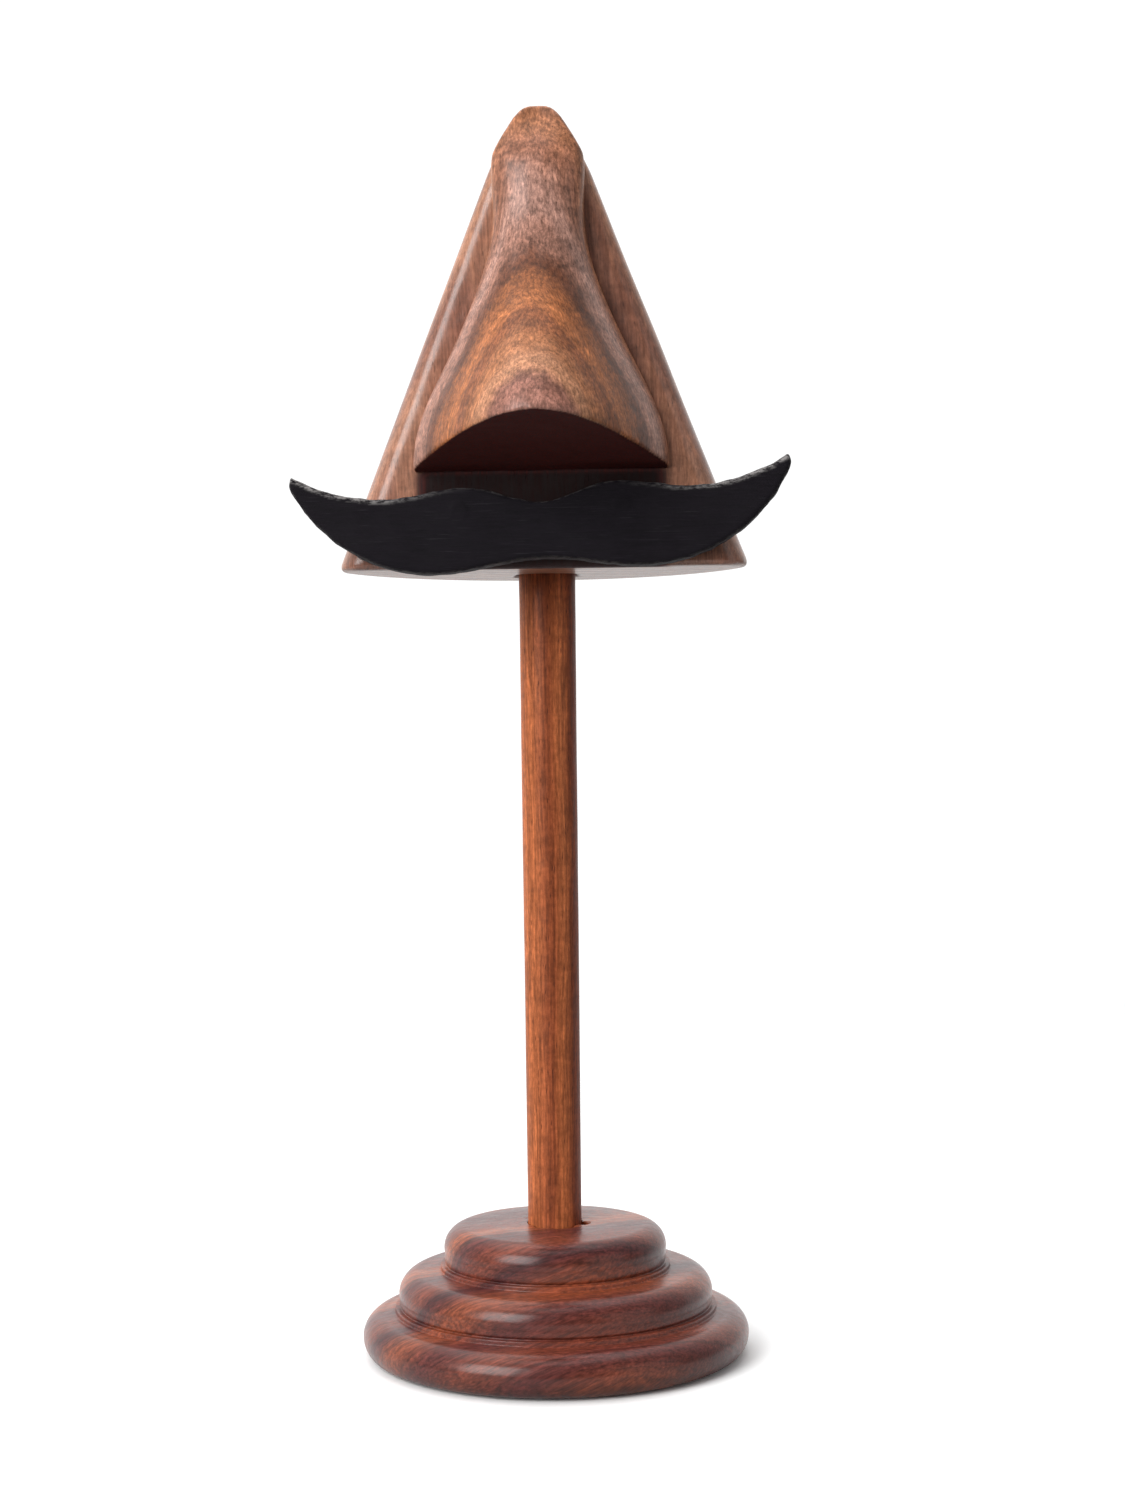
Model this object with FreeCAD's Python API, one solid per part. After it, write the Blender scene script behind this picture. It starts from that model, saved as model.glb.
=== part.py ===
"""A wooden display stand for one pair of eyeglasses, as separate solids in millimetres.

A turned, stepped base carries a slim post, and the post carries a head: a wedge-shaped face
block with a carved nose and a painted moustache on its front. The glasses sit on the nose.
Frame: origin at the centre of the base's underside, +Z up, the nose points along -Y.
"""
import FreeCAD, Part

import math
import os

from FreeCAD import Placement, Rotation, Vector

# ---- base: three turned tiers, widest first ----
TIER_RADII = (36.0, 29.3, 20.8)
TIER_TOPS = (8.2, 15.8, 24.1)
TIER_EDGE = 4.1            # radius of each tier's rounded rim
FOOT_UNDERCUT_DEG = 50.0   # how far the lowest rim's curve runs below its widest point
RIM_UNDERCUT_DEG = 12.0    # the same for the upper rims, which drop almost straight to their rings
FOOT_EDGE = 3.4            # inset of the flat underside from the widest radius
RING_HEIGHT = 0.9          # narrow raised ring at the foot of each upper tier
RING_PROUD = 0.7           # how far that ring stands out past the tier above it
TOP_FALL = 0.3             # how far a tier's top falls from its ring to its rim

# ---- post: a round rod that stands in the base and carries the head ----
POST_R_LOW = 5.0
POST_R_HIGH = 5.3
SOCKET_CLEARANCE = 0.08    # radial gap round the post in both sockets
BASE_SOCKET_DEPTH = 18.0
HEAD_SOCKET_DEPTH = 13.0
SOCKET_MOUTH = 0.55        # worn chamfer round each socket's mouth
POST_END_CHAMFER = 0.5
TAPER_SPARE = 1.0          # the taper stops this far short of both sockets

# ---- head ----
HEAD_BOTTOM = 145.0
HEAD_TOP = 228.0
FRONT_Y_LOW = -20.0        # front plane of the block at the bottom of the head
FRONT_Y_HIGH = -17.6       # and at the top
BACK_Y_LOW = 13.0          # crown of the rounded back at the bottom of the head
BACK_Y_HIGH = -14.6        # and at the top
HALF_WIDTH_LOW = 37.3
HALF_WIDTH_HIGH = 5.0
CORNER_X = 5.0             # the block's front corners round over this width
CORNER_X_SHARE = 0.55      # but over no more than this share of the half width
CORNER_Y = 6.0             # and over this depth
CORNER_Y_KEPT = 0.35       # of which this share would be left where the block has no depth
SIDE_FLAT = 1.2            # flat behind each front corner
BLOCK_EDGE = 0.8           # softened edge round the block's underside
APEX_RADIUS = 5.0
SHOULDER_DEG = 33.4        # flank's slant from upright where it leaves the apex
SHOULDER_Z = 212.4         # the flank is straight below here
FLANK_DEG = 22.5           # slant of the straight flank's cutting outline
FLANK_SPARE = 0.25         # that outline stays this far outside the block's own flank
NOSE_TOP_Y = -20.8         # front of the nose at the very top
CROWN_SPARE = 2.5          # the domed top, seen from the side, runs this far past front and back
CROWN_DROP = 5.5           # and falls this far there
CROWN_FALL = 60.0          # further fall, well outside the wood

# ---- nose: height, half width and how far it stands out of the block ----
NOSE_SECTIONS = (
    (158.0, 23.0, 27.6),
    (165.0, 22.7, 27.6),
    (172.0, 21.2, 26.7),
    (180.0, 17.7, 22.0),
    (188.0, 13.9, 16.8),
    (196.0, 10.6, 12.0),
    (204.0, 8.5, 8.6),
    (212.0, 8.2, 7.0),
    (220.0, 7.9, 5.2),
    (230.0, 7.0, 2.8),
)
NOSE_ROUND_Z = (176.0, 206.0)   # the section turns from an arch to a half ellipse here
NOSE_ROUND_LOW = 0.08           # share of ellipse in the lowest sections
NOSE_WALL = 1.6                 # upright edge of the nose where it meets the block
NOSE_WALL_SHARE = 0.3           # but no more than this share of how far the nose stands out
NOSE_BACK_SPARE = 0.5           # cut away again by the block's front plane
NOSE_SECTION_POINTS = 15
NOSTRIL_CUT_Z = 162.4           # the slanted cut under the nose, where it meets the block
NOSTRIL_CUT_DEG = 14.5

# ---- moustache: half outline from the centre to the tip, height from its own middle ----
MOUSTACHE_UPPER = ((0.0, 4.5), (6.0, 5.9), (13.5, 7.6), (21.0, 6.8), (28.5, 6.2), (36.5, 7.6))
MOUSTACHE_TIP_HIGH = (44.3, 11.0)
MOUSTACHE_TIP_LOW = (44.7, 9.3)
MOUSTACHE_LOWER = ((38.5, 0.5), (30.5, -4.9), (23.5, -7.1), (15.5, -7.4), (7.0, -6.1), (0.0, -5.5))
MOUSTACHE_Z = 151.9
MOUSTACHE_THICKNESS = 4.2
MOUSTACHE_TILT_DEG = 1.8   # the moustache sits a little crooked, its left side raised
MOUSTACHE_EDGE = 0.45

# ---- fasteners ----
SCREW_HEIGHTS = (174.0, 192.0)
SCREW_SHANK_R = 1.45
SCREW_HEAD_R = 3.0
SCREW_HEAD_H = 1.9
SCREW_TIP = 3.0
SCREW_TIP_R = 0.25
SCREW_BITE = 9.5           # how far each screw reaches into the nose
SCREW_SUNK = 0.6           # how deep each screw head sits below the block's back
SINK_LENGTH = 8.0          # length of the cutter that opens the hole above the screw head
SCREW_SLOT = (3.4, 0.55, 1.1)   # cross recess: arm length, arm width, depth
PIN_OFFSET = 14.5          # moustache pins, either side of the middle
PIN_RAISE = 3.4
PIN_SHANK_R = 0.6
PIN_HEAD_R = 1.05
PIN_HEAD_H = 0.5
PIN_LENGTH = 14.0
PIN_TIP = 1.2
PIN_TIP_R = 0.1
HOLE_GAP = 0.05            # radial gap round a screw or a pin

BIG = 400.0                # reach of the cutting shapes, well past the wood
SPARE = 20.0               # how far their outlines run past the head's ends
Z_AXIS = Vector(0, 0, 1)
FRONTWARD = Vector(0, -1, 0)


def between(low, high, z):
    """Value at height z of a straight run from low at HEAD_BOTTOM to high at HEAD_TOP."""
    return low + (high - low) * (z - HEAD_BOTTOM) / (HEAD_TOP - HEAD_BOTTOM)


def front_y(z):
    return between(FRONT_Y_LOW, FRONT_Y_HIGH, z)


def back_y(z):
    return between(BACK_Y_LOW, BACK_Y_HIGH, z)


def box_between(low, high):
    size = Vector(*high) - Vector(*low)
    return Part.makeBox(size.x, size.y, size.z, Vector(*low))


def spline(points, start=None, end=None):
    curve = Part.BSplineCurve()
    if start is None:
        curve.interpolate(points)
    else:
        curve.interpolate(points, InitialTangent=start, FinalTangent=end)
    return curve.toShape()


def line(a, b):
    return Part.LineSegment(a, b).toShape()


# ------------------------------------------------------------------ base

def rim_arc(radius, middle_z, start_deg, end_deg):
    """One rim's round edge in the XZ plane, with its two ends."""
    centre = Vector(radius - TIER_EDGE, 0, middle_z)

    def at(deg):
        a = math.radians(deg)
        return centre + Vector(TIER_EDGE * math.cos(a), 0, TIER_EDGE * math.sin(a))

    ends = at(start_deg), at(end_deg)
    return Part.Arc(ends[0], at((start_deg + end_deg) / 2), ends[1]).toShape(), ends


def make_base():
    """Turned from one block, so it is one solid: three tiers with a thin ring between each pair."""
    edges = []
    here = Vector(0, 0, 0)
    below = None
    for radius, top in zip(TIER_RADII, TIER_TOPS):
        undercut = FOOT_UNDERCUT_DEG if below is None else RIM_UNDERCUT_DEG
        arc, ends = rim_arc(radius, top - TOP_FALL - TIER_EDGE, -undercut, 90)
        if below is None:
            steps = [Vector(radius - FOOT_EDGE, 0, 0), ends[0]]
        else:
            ring_r = radius + RING_PROUD
            ring_top = below + RING_HEIGHT
            steps = [
                Vector(ring_r, 0, below),
                Vector(ring_r, 0, ring_top),
                Vector(ends[0].x, 0, ring_top),
                ends[0],
            ]
        for step in steps:
            edges.append(line(here, step))
            here = step
        edges.append(arc)
        here = ends[1]
        below = top
    axis_top = Vector(0, 0, TIER_TOPS[-1])
    brow = Vector(TIER_RADII[-1] - 2 * TIER_EDGE, 0, TIER_TOPS[-1])
    edges += [line(here, brow), line(brow, axis_top), line(axis_top, Vector())]
    turned = Part.Face(Part.Wire(edges)).revolve(Vector(), Z_AXIS, 360)
    return turned.cut(socket(POST_R_LOW, TIER_TOPS[-1], -BASE_SOCKET_DEPTH))


def socket(post_radius, mouth_z, depth):
    """A round socket and its chamfered mouth. A negative depth runs down from the mouth."""
    radius = post_radius + SOCKET_CLEARANCE
    direction = Vector(0, 0, math.copysign(1.0, depth))
    mouth = Vector(0, 0, mouth_z)
    bore = Part.makeCylinder(radius, abs(depth), mouth, direction)
    chamfer = Part.makeCone(radius + SOCKET_MOUTH, radius, SOCKET_MOUTH, mouth, direction)
    return bore.fuse(chamfer)


# ------------------------------------------------------------------ post

def make_post():
    foot_z = TIER_TOPS[-1] - BASE_SOCKET_DEPTH
    tip_z = HEAD_BOTTOM + HEAD_SOCKET_DEPTH
    profile = [
        (0, foot_z),
        (POST_R_LOW - POST_END_CHAMFER, foot_z),
        (POST_R_LOW, foot_z + POST_END_CHAMFER),
        (POST_R_LOW, TIER_TOPS[-1] + TAPER_SPARE),
        (POST_R_HIGH, HEAD_BOTTOM - TAPER_SPARE),
        (POST_R_HIGH, tip_z - POST_END_CHAMFER),
        (POST_R_HIGH - POST_END_CHAMFER, tip_z),
        (0, tip_z),
        (0, foot_z),
    ]
    wire = Part.makePolygon([Vector(r, 0, z) for r, z in profile])
    return Part.Face(wire).revolve(Vector(), Z_AXIS, 360)


# ------------------------------------------------------------------ head

def block_section(z):
    """The block's outline at one height: flat front, rounded front corners, rounded back."""
    half = between(HALF_WIDTH_LOW, HALF_WIDTH_HIGH, z)
    depth = back_y(z) - front_y(z)
    shrink = depth / (BACK_Y_LOW - FRONT_Y_LOW)
    corner_x = min(CORNER_X, CORNER_X_SHARE * half)
    corner_y = CORNER_Y * (CORNER_Y_KEPT + (1 - CORNER_Y_KEPT) * shrink)
    flat = SIDE_FLAT * shrink
    front = front_y(z)
    side = front + corner_y
    bulge = math.sin(math.pi / 4)

    def corner(sign):
        return Vector(
            sign * (half - corner_x * (1 - bulge)), side - corner_y * bulge, z
        )

    a = Vector(-half + corner_x, front, z)
    b = Vector(half - corner_x, front, z)
    c = Vector(half, side, z)
    d = Vector(half, side + flat, z)
    e = Vector(-half, side + flat, z)
    f = Vector(-half, side, z)
    back = Part.Arc(d, Vector(0, back_y(z), z), e).toShape()
    right = spline([b, corner(1), c], Vector(1, 0, 0), Vector(0, 1, 0))
    left = spline([f, corner(-1), a], Vector(0, -1, 0), Vector(1, 0, 0))
    return Part.Wire([line(a, b), right, line(c, d), back, line(e, f), left])


def head_outline_front():
    """The head seen from the front, straight flanks easing into a round apex, cut through Y."""
    far = -BIG / 2

    def along(deg):
        a = math.radians(deg)
        return Vector(math.cos(a), 0, math.sin(a))

    top = Vector(0, far, HEAD_TOP)
    touch = top + Vector(0, 0, -APEX_RADIUS) + along(SHOULDER_DEG) * APEX_RADIUS
    join_x = between(HALF_WIDTH_LOW, HALF_WIDTH_HIGH, SHOULDER_Z) + FLANK_SPARE
    join = Vector(join_x, far, SHOULDER_Z)
    down = along(FLANK_DEG - 90)
    low = join + down * (join.z - HEAD_BOTTOM + SPARE)
    half = [spline([touch, join], along(SHOULDER_DEG - 90), down), line(join, low)]
    flipped = [e.mirror(Vector(), Vector(1, 0, 0)) for e in half]
    apex = Part.Arc(Vector(-touch.x, far, touch.z), top, touch).toShape()
    foot = line(low, Vector(-low.x, far, low.z))
    outline = Part.Wire([apex] + half + [foot] + flipped[::-1])
    return Part.Face(outline).extrude(Vector(0, BIG, 0))


def head_outline_side():
    """The head seen from the side, with a domed top, cut through X."""
    far = -BIG / 2
    low_z = HEAD_BOTTOM - SPARE
    top_front = Vector(far, NOSE_TOP_Y - CROWN_SPARE, HEAD_TOP - CROWN_DROP)
    crown = Vector(far, (NOSE_TOP_Y + BACK_Y_HIGH) / 2, HEAD_TOP)
    top_back = Vector(far, BACK_Y_HIGH + CROWN_SPARE, HEAD_TOP - CROWN_DROP)
    corners = [
        top_front,
        Vector(far, -BIG / 4, top_front.z - CROWN_FALL),
        Vector(far, -BIG / 4, low_z),
        Vector(far, BIG / 4, low_z),
        Vector(far, BIG / 4, top_back.z - CROWN_FALL),
        top_back,
    ]
    edges = [line(a, b) for a, b in zip(corners, corners[1:])]
    edges.append(Part.Arc(top_back, crown, top_front).toShape())
    return Part.Face(Part.Wire(edges)).extrude(Vector(BIG, 0, 0))


def front_space():
    """Everything in front of the block's front plane."""
    low = Vector(-BIG / 2, front_y(HEAD_BOTTOM - SPARE), HEAD_BOTTOM - SPARE)
    high = Vector(-BIG / 2, front_y(HEAD_TOP + SPARE), HEAD_TOP + SPARE)
    outer = [Vector(-BIG / 2, -BIG / 2, p.z) for p in (high, low)]
    wire = Part.makePolygon([low, high, outer[0], outer[1], low])
    return Part.Face(wire).extrude(Vector(BIG, 0, 0))


def make_block(envelope):
    loft = Part.makeLoft([block_section(HEAD_BOTTOM), block_section(HEAD_TOP)], True, True)
    body = loft.common(envelope)
    under = [e for e in body.Edges if all(abs(v.Z - HEAD_BOTTOM) < 0.01 for v in e.Vertexes)]
    body = body.makeFillet(BLOCK_EDGE, under)
    return body.cut(socket(POST_R_HIGH, HEAD_BOTTOM, HEAD_SOCKET_DEPTH))


def nose_section(z, half, stand_out):
    """One level of the nose: an arch low down, a half ellipse at the bridge, closed by its back."""
    low, high = NOSE_ROUND_Z
    rise = min(1.0, max(0.0, (z - low) / (high - low)))
    roundness = NOSE_ROUND_LOW + (1 - NOSE_ROUND_LOW) * rise
    wall = min(NOSE_WALL, NOSE_WALL_SHARE * stand_out)
    back = front_y(z) + NOSE_BACK_SPARE
    points = []
    for i in range(NOSE_SECTION_POINTS):
        u = math.sin(math.pi / 2 * (2 * i / (NOSE_SECTION_POINTS - 1) - 1))
        arch = math.cos(math.pi / 2 * u)
        ellipse = math.sqrt(max(0.0, 1 - u * u))
        height = (1 - roundness) * arch + roundness * ellipse
        points.append(Vector(u * half, front_y(z) - wall - (stand_out - wall) * height, z))
    left = Vector(-half, back, z)
    right = Vector(half, back, z)
    return Part.Wire(
        [spline(points), line(points[-1], right), line(right, left), line(left, points[0])]
    )


def nostril_space():
    """Everything above the slanted cut under the nose, which rises towards the tip."""
    half_space = Part.makeBox(BIG, BIG, BIG, Vector(-BIG / 2, -BIG / 2, 0))
    turn = Rotation(Vector(1, 0, 0), -NOSTRIL_CUT_DEG)
    at = Vector(0, front_y(NOSTRIL_CUT_Z), NOSTRIL_CUT_Z)
    half_space.Placement = Placement(at, turn)
    return half_space


def make_nose(envelope):
    sections = [nose_section(*s) for s in NOSE_SECTIONS]
    loft = Part.makeLoft(sections, True, False)
    return loft.common(front_space()).common(nostril_space()).common(envelope)


def moustache_edge(points):
    return spline([Vector(x, 0, z) for x, z in points])


def mirrored(points):
    return [(-x, z) for x, z in reversed(points)]


def make_moustache():
    """A flat board cut to the moustache outline, lying against the block's front plane."""
    upper = mirrored(MOUSTACHE_UPPER + (MOUSTACHE_TIP_HIGH,))[:-1]
    upper += list(MOUSTACHE_UPPER + (MOUSTACHE_TIP_HIGH,))
    lower = [MOUSTACHE_TIP_LOW] + list(MOUSTACHE_LOWER)
    lower += mirrored([MOUSTACHE_TIP_LOW] + list(MOUSTACHE_LOWER[:-1]))
    tips = [Vector(x, 0, z) for x, z in (MOUSTACHE_TIP_HIGH, MOUSTACHE_TIP_LOW)]
    far_tips = [Vector(-p.x, 0, p.z) for p in tips]
    wire = Part.Wire([
        moustache_edge(upper),
        line(tips[0], tips[1]),
        moustache_edge(lower),
        line(far_tips[1], far_tips[0]),
    ])
    board = Part.Face(wire).extrude(FRONTWARD * MOUSTACHE_THICKNESS)
    front = [e for e in board.Edges
             if all(abs(v.Y + MOUSTACHE_THICKNESS) < 0.01 for v in e.Vertexes)]
    board = board.makeChamfer(MOUSTACHE_EDGE, front)
    board.Placement = moustache_placement()
    return board


def moustache_placement():
    """From the board's own plane to its place on the block: crooked, then leaned with the plane."""
    lean = math.degrees(math.atan2(FRONT_Y_HIGH - FRONT_Y_LOW, HEAD_TOP - HEAD_BOTTOM))
    crooked = Rotation(Vector(0, 1, 0), -MOUSTACHE_TILT_DEG)
    leaned = Rotation(Vector(1, 0, 0), -lean)
    return Placement(Vector(0, front_y(MOUSTACHE_Z), MOUSTACHE_Z), leaned * crooked)


# ------------------------------------------------------------------ fasteners

def screw_line(z):
    """Where one nose screw starts on the block's back, and how long it is."""
    start = Vector(0, back_y(z) - SCREW_SUNK, z)
    return start, start.y - front_y(z) + SCREW_BITE


def screw_body(z, gap):
    """A countersunk wood screw pointing forward, grown by gap to make its hole."""
    start, length = screw_line(z)
    neck = start + FRONTWARD * SCREW_HEAD_H
    shank = length - SCREW_HEAD_H - SCREW_TIP
    head = Part.makeCone(SCREW_HEAD_R + gap, SCREW_SHANK_R + gap, SCREW_HEAD_H, start, FRONTWARD)
    rod = Part.makeCylinder(SCREW_SHANK_R + gap, shank, neck, FRONTWARD)
    point = Part.makeCone(
        SCREW_SHANK_R + gap, SCREW_TIP_R + gap, SCREW_TIP, neck + FRONTWARD * shank, FRONTWARD
    )
    return head.fuse(rod).fuse(point)


def screw_hole(z):
    start, _ = screw_line(z)
    sink = Part.makeCylinder(SCREW_HEAD_R + HOLE_GAP, SINK_LENGTH, start, -FRONTWARD)
    return screw_body(z, HOLE_GAP).fuse(sink)


def make_screw(z):
    arm, width, depth = SCREW_SLOT
    start, _ = screw_line(z)
    low = start.y - depth
    flat = box_between((-arm / 2, low, z - width / 2), (arm / 2, start.y + 1, z + width / 2))
    tall = box_between((-width / 2, low, z - arm / 2), (width / 2, start.y + 1, z + arm / 2))
    return screw_body(z, 0).cut(flat.fuse(tall))


def pin_body(side, gap):
    """A headed panel pin through the moustache into the block, its head flush with the paint."""
    top = MOUSTACHE_THICKNESS
    at = Vector(side * PIN_OFFSET, -top, PIN_RAISE)
    inward = Vector(0, 1, 0)
    head = Part.makeCylinder(PIN_HEAD_R + gap, PIN_HEAD_H + gap, at, inward)
    shank = PIN_LENGTH - PIN_TIP
    rod = Part.makeCylinder(PIN_SHANK_R + gap, shank, at, inward)
    point = Part.makeCone(
        PIN_SHANK_R + gap, PIN_TIP_R + gap, PIN_TIP, at + inward * shank, inward
    )
    body = head.fuse(rod).fuse(point)
    body.Placement = moustache_placement()
    return body


# ------------------------------------------------------------------ assembly

def make_parts():
    envelope = head_outline_front().common(head_outline_side())
    block = make_block(envelope)
    nose = make_nose(envelope)
    moustache = make_moustache()
    parts = {}
    for name, z in zip(("nose_screw_lower", "nose_screw_upper"), SCREW_HEIGHTS):
        parts[name] = make_screw(z)
        block = block.cut(screw_hole(z))
        nose = nose.cut(screw_body(z, HOLE_GAP))
    for name, side in (("moustache_pin_left", 1), ("moustache_pin_right", -1)):
        parts[name] = pin_body(side, 0)
        hole = pin_body(side, HOLE_GAP)
        block = block.cut(hole)
        moustache = moustache.cut(hole)
    parts.update(
        base=make_base(), post=make_post(), face_block=block, nose=nose, moustache=moustache
    )
    return parts


def main():
    os.makedirs("parts", exist_ok=True)
    for name, shape in make_parts().items():
        solids = shape.Solids
        if len(solids) != 1 or not shape.isValid():
            print("check", name, "solids", len(solids), "valid", shape.isValid())
        print(f"{name:20s} {solids[0].Volume / 1000:8.3f} cm3")
        solids[0].exportStep(f"parts/{name}.step")


main()
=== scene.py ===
"""Finished meshes, materials and studio for the eyeglasses display stand.

The CAD model gives every size and place. The turned and carved pieces are rebuilt as dense meshes
with sanded arrises and slightly uneven surfaces; the screws and pins keep their CAD meshes.
Lengths are in metres; inside the materials they are in millimetres.
"""

import math

import bmesh
import bpy
from mathutils import Euler, Matrix, Vector, noise
from mathutils.kdtree import KDTree


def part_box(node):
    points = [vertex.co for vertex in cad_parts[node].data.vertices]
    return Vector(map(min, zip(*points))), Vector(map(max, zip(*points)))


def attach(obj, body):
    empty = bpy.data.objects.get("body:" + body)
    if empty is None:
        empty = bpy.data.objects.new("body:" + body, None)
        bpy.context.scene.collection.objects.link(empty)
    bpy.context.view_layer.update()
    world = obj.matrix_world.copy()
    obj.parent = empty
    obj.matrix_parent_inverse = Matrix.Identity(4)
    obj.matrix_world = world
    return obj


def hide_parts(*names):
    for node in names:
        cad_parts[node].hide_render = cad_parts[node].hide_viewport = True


MM = 0.001

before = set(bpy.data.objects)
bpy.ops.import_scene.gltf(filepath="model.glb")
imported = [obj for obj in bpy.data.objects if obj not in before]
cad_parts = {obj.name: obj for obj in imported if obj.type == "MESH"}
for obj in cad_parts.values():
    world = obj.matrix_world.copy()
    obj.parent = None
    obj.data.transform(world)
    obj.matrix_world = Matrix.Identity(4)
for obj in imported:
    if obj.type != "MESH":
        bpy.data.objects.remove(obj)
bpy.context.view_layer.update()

# ---- sizes read from the frame ----
BASE_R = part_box("base")[1].x
BASE_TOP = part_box("base")[1].z
POST_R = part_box("post")[1].x
HEAD_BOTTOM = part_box("face_block")[0].z
HEAD_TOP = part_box("face_block")[1].z
BLOCK_FRONT_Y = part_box("face_block")[0].y
MOUSTACHE_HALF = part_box("moustache")[1].x

# ---- camera ----
LENS_MM = 55.2
SENSOR_MM = 36.0
CAMERA_DISTANCE = 0.431
CAMERA_HEIGHT = 0.1124
CAMERA_AZIMUTH = math.radians(2.0)
CAMERA_ROLL = math.radians(-0.7)
CAMERA_ASIDE = 0.0025

# ---- dense meshes ----
CARVED_VOXEL = 0.42 * MM
BOARD_VOXEL = 0.30 * MM
LATHE_STEPS = 216
POST_STEPS = 96
POST_RINGS = 260
BLOCK_SMOOTHING = 14
NOSE_SMOOTHING = 5
BOARD_SMOOTHING = 4


# ------------------------------------------------------------------ mesh helpers

def new_piece(name, mesh, body, slot, *nodes):
    """A finished piece that rides on a CAD body and stands for its CAD nodes."""
    piece = bpy.data.objects.new(name, mesh)
    bpy.context.scene.collection.objects.link(piece)
    mesh.polygons.foreach_set("use_smooth", [True] * len(mesh.polygons))
    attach(piece, body)
    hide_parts(*nodes)
    return piece


def dense_copy(node, voxel, smoothing, caps=()):
    """A voxel-remeshed copy of a CAD node's mesh, its arrises rounded as by sanding.

    Each cap is a disc of (centre, direction, radius, thickness) that is added to the piece.
    """
    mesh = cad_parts[node].data.copy()
    bm = bmesh.new()
    bm.from_mesh(mesh)
    bmesh.ops.remove_doubles(bm, verts=bm.verts, dist=0.002 * MM)
    for centre, direction, radius, thickness in caps:
        place = Matrix.Translation(centre) @ direction.to_track_quat("Z", "Y").to_matrix().to_4x4()
        bmesh.ops.create_cone(
            bm, cap_ends=True, segments=24, radius1=radius, radius2=radius, depth=thickness,
            matrix=place,
        )
    bm.to_mesh(mesh)
    bm.free()
    work = bpy.data.objects.new("work", mesh)
    bpy.context.scene.collection.objects.link(work)
    remesh = work.modifiers.new("remesh", "REMESH")
    remesh.mode = "VOXEL"
    remesh.voxel_size = voxel
    smooth = work.modifiers.new("smooth", "SMOOTH")
    smooth.factor = 0.5
    smooth.iterations = smoothing
    depsgraph = bpy.context.evaluated_depsgraph_get()
    dense = bpy.data.meshes.new_from_object(work.evaluated_get(depsgraph))
    bpy.data.objects.remove(work)
    dense.materials.clear()
    return dense


def normals_of(mesh):
    flat = [0.0] * (3 * len(mesh.vertices))
    mesh.vertex_normals.foreach_get("vector", flat)
    return [Vector(flat[i:i + 3]) for i in range(0, len(flat), 3)]


def move_points(mesh, points):
    mesh.vertices.foreach_set("co", [c for point in points for c in point])
    mesh.update()


def uneven(mesh, amount, stretch, seed, weights=None):
    """Moves vertices along their normals by smooth noise: the slight waviness of hand work."""
    points = [v.co.copy() for v in mesh.vertices]
    weights = weights or [1.0] * len(points)
    for point, normal, weight in zip(points, normals_of(mesh), weights):
        spot = Vector((point.x * stretch[0] + seed, point.y * stretch[1], point.z * stretch[2]))
        point += normal * (amount * weight * noise.noise(spot))
    move_points(mesh, points)


def smooth_step(low, high, value):
    t = min(1.0, max(0.0, (value - low) / (high - low)))
    return t * t * (3 - 2 * t)


CHIP_SPREAD = 1.6           # a larger number gives more, shorter chips round the socket
CHIP_STRENGTH = 1.8
CHIP_FINE = 0.25            # share of the fine breakage on top of the broad chips


def chip(angle, seed):
    """How far the edge of a socket is broken out at this angle: 0 is whole, 1 a deep chip."""
    spot = Vector((math.cos(angle) * CHIP_SPREAD, math.sin(angle) * CHIP_SPREAD, seed))
    return max(0.0, noise.noise(spot) * CHIP_STRENGTH + CHIP_FINE * noise.noise(spot * 4.0))


SPLINTER_ANGLE = math.radians(345)
SPLINTER_HALF_WIDTH = (0.05, 0.35)   # radians either side: fully missing, and whole again
SPLINTER_DEPTH = 1.6                 # against a deep chip's 1


def splinter(angle):
    """The one long splinter missing from the base's socket, at the front right."""
    return SPLINTER_DEPTH * (1 - smooth_step(*SPLINTER_HALF_WIDTH, abs(angle - SPLINTER_ANGLE)))


def point_attribute(mesh, name, values):
    attribute = mesh.attributes.new(name, "FLOAT", "POINT")
    attribute.data.foreach_set("value", values)


def lathe(name, profile, steps, wobble, marks):
    """Spins (radius, height) points about Z. marks holds one value per point, kept as "groove"."""
    mesh = bpy.data.meshes.new(name)
    verts = []
    values = []
    for radius, height in profile:
        for step in range(steps):
            angle = 2 * math.pi * step / steps
            r, z = wobble(radius, height, angle)
            verts.append((r * math.cos(angle), r * math.sin(angle), z))
    for mark in marks:
        values += [mark] * steps
    faces = []
    for row in range(len(profile) - 1):
        for step in range(steps):
            after = (step + 1) % steps
            a, b = row * steps + step, row * steps + after
            faces.append((a, b, b + steps, a + steps))
    low_cap = len(verts)
    verts += [(0, 0, profile[0][1]), (0, 0, profile[-1][1])]
    values += [marks[0], marks[-1]]
    last = (len(profile) - 1) * steps
    for step in range(steps):
        after = (step + 1) % steps
        faces.append((low_cap, after, step))
        faces.append((low_cap + 1, last + step, last + after))
    mesh.from_pydata(verts, [], faces)
    mesh.update()
    point_attribute(mesh, "groove", values)
    return mesh


def round_corners(points, marks, rounds=2):
    """Chaikin's corner cutting, which keeps the two ends."""
    for _ in range(rounds):
        new_points, new_marks = [points[0]], [marks[0]]
        for i in range(len(points) - 1):
            for t in (0.25, 0.75):
                new_points.append(tuple(a + (b - a) * t for a, b in zip(points[i], points[i + 1])))
                new_marks.append(marks[i] + (marks[i + 1] - marks[i]) * t)
        points, marks = new_points + [points[-1]], new_marks + [marks[-1]]
    return points, marks


# ------------------------------------------------------------------ turned base and post

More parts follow.
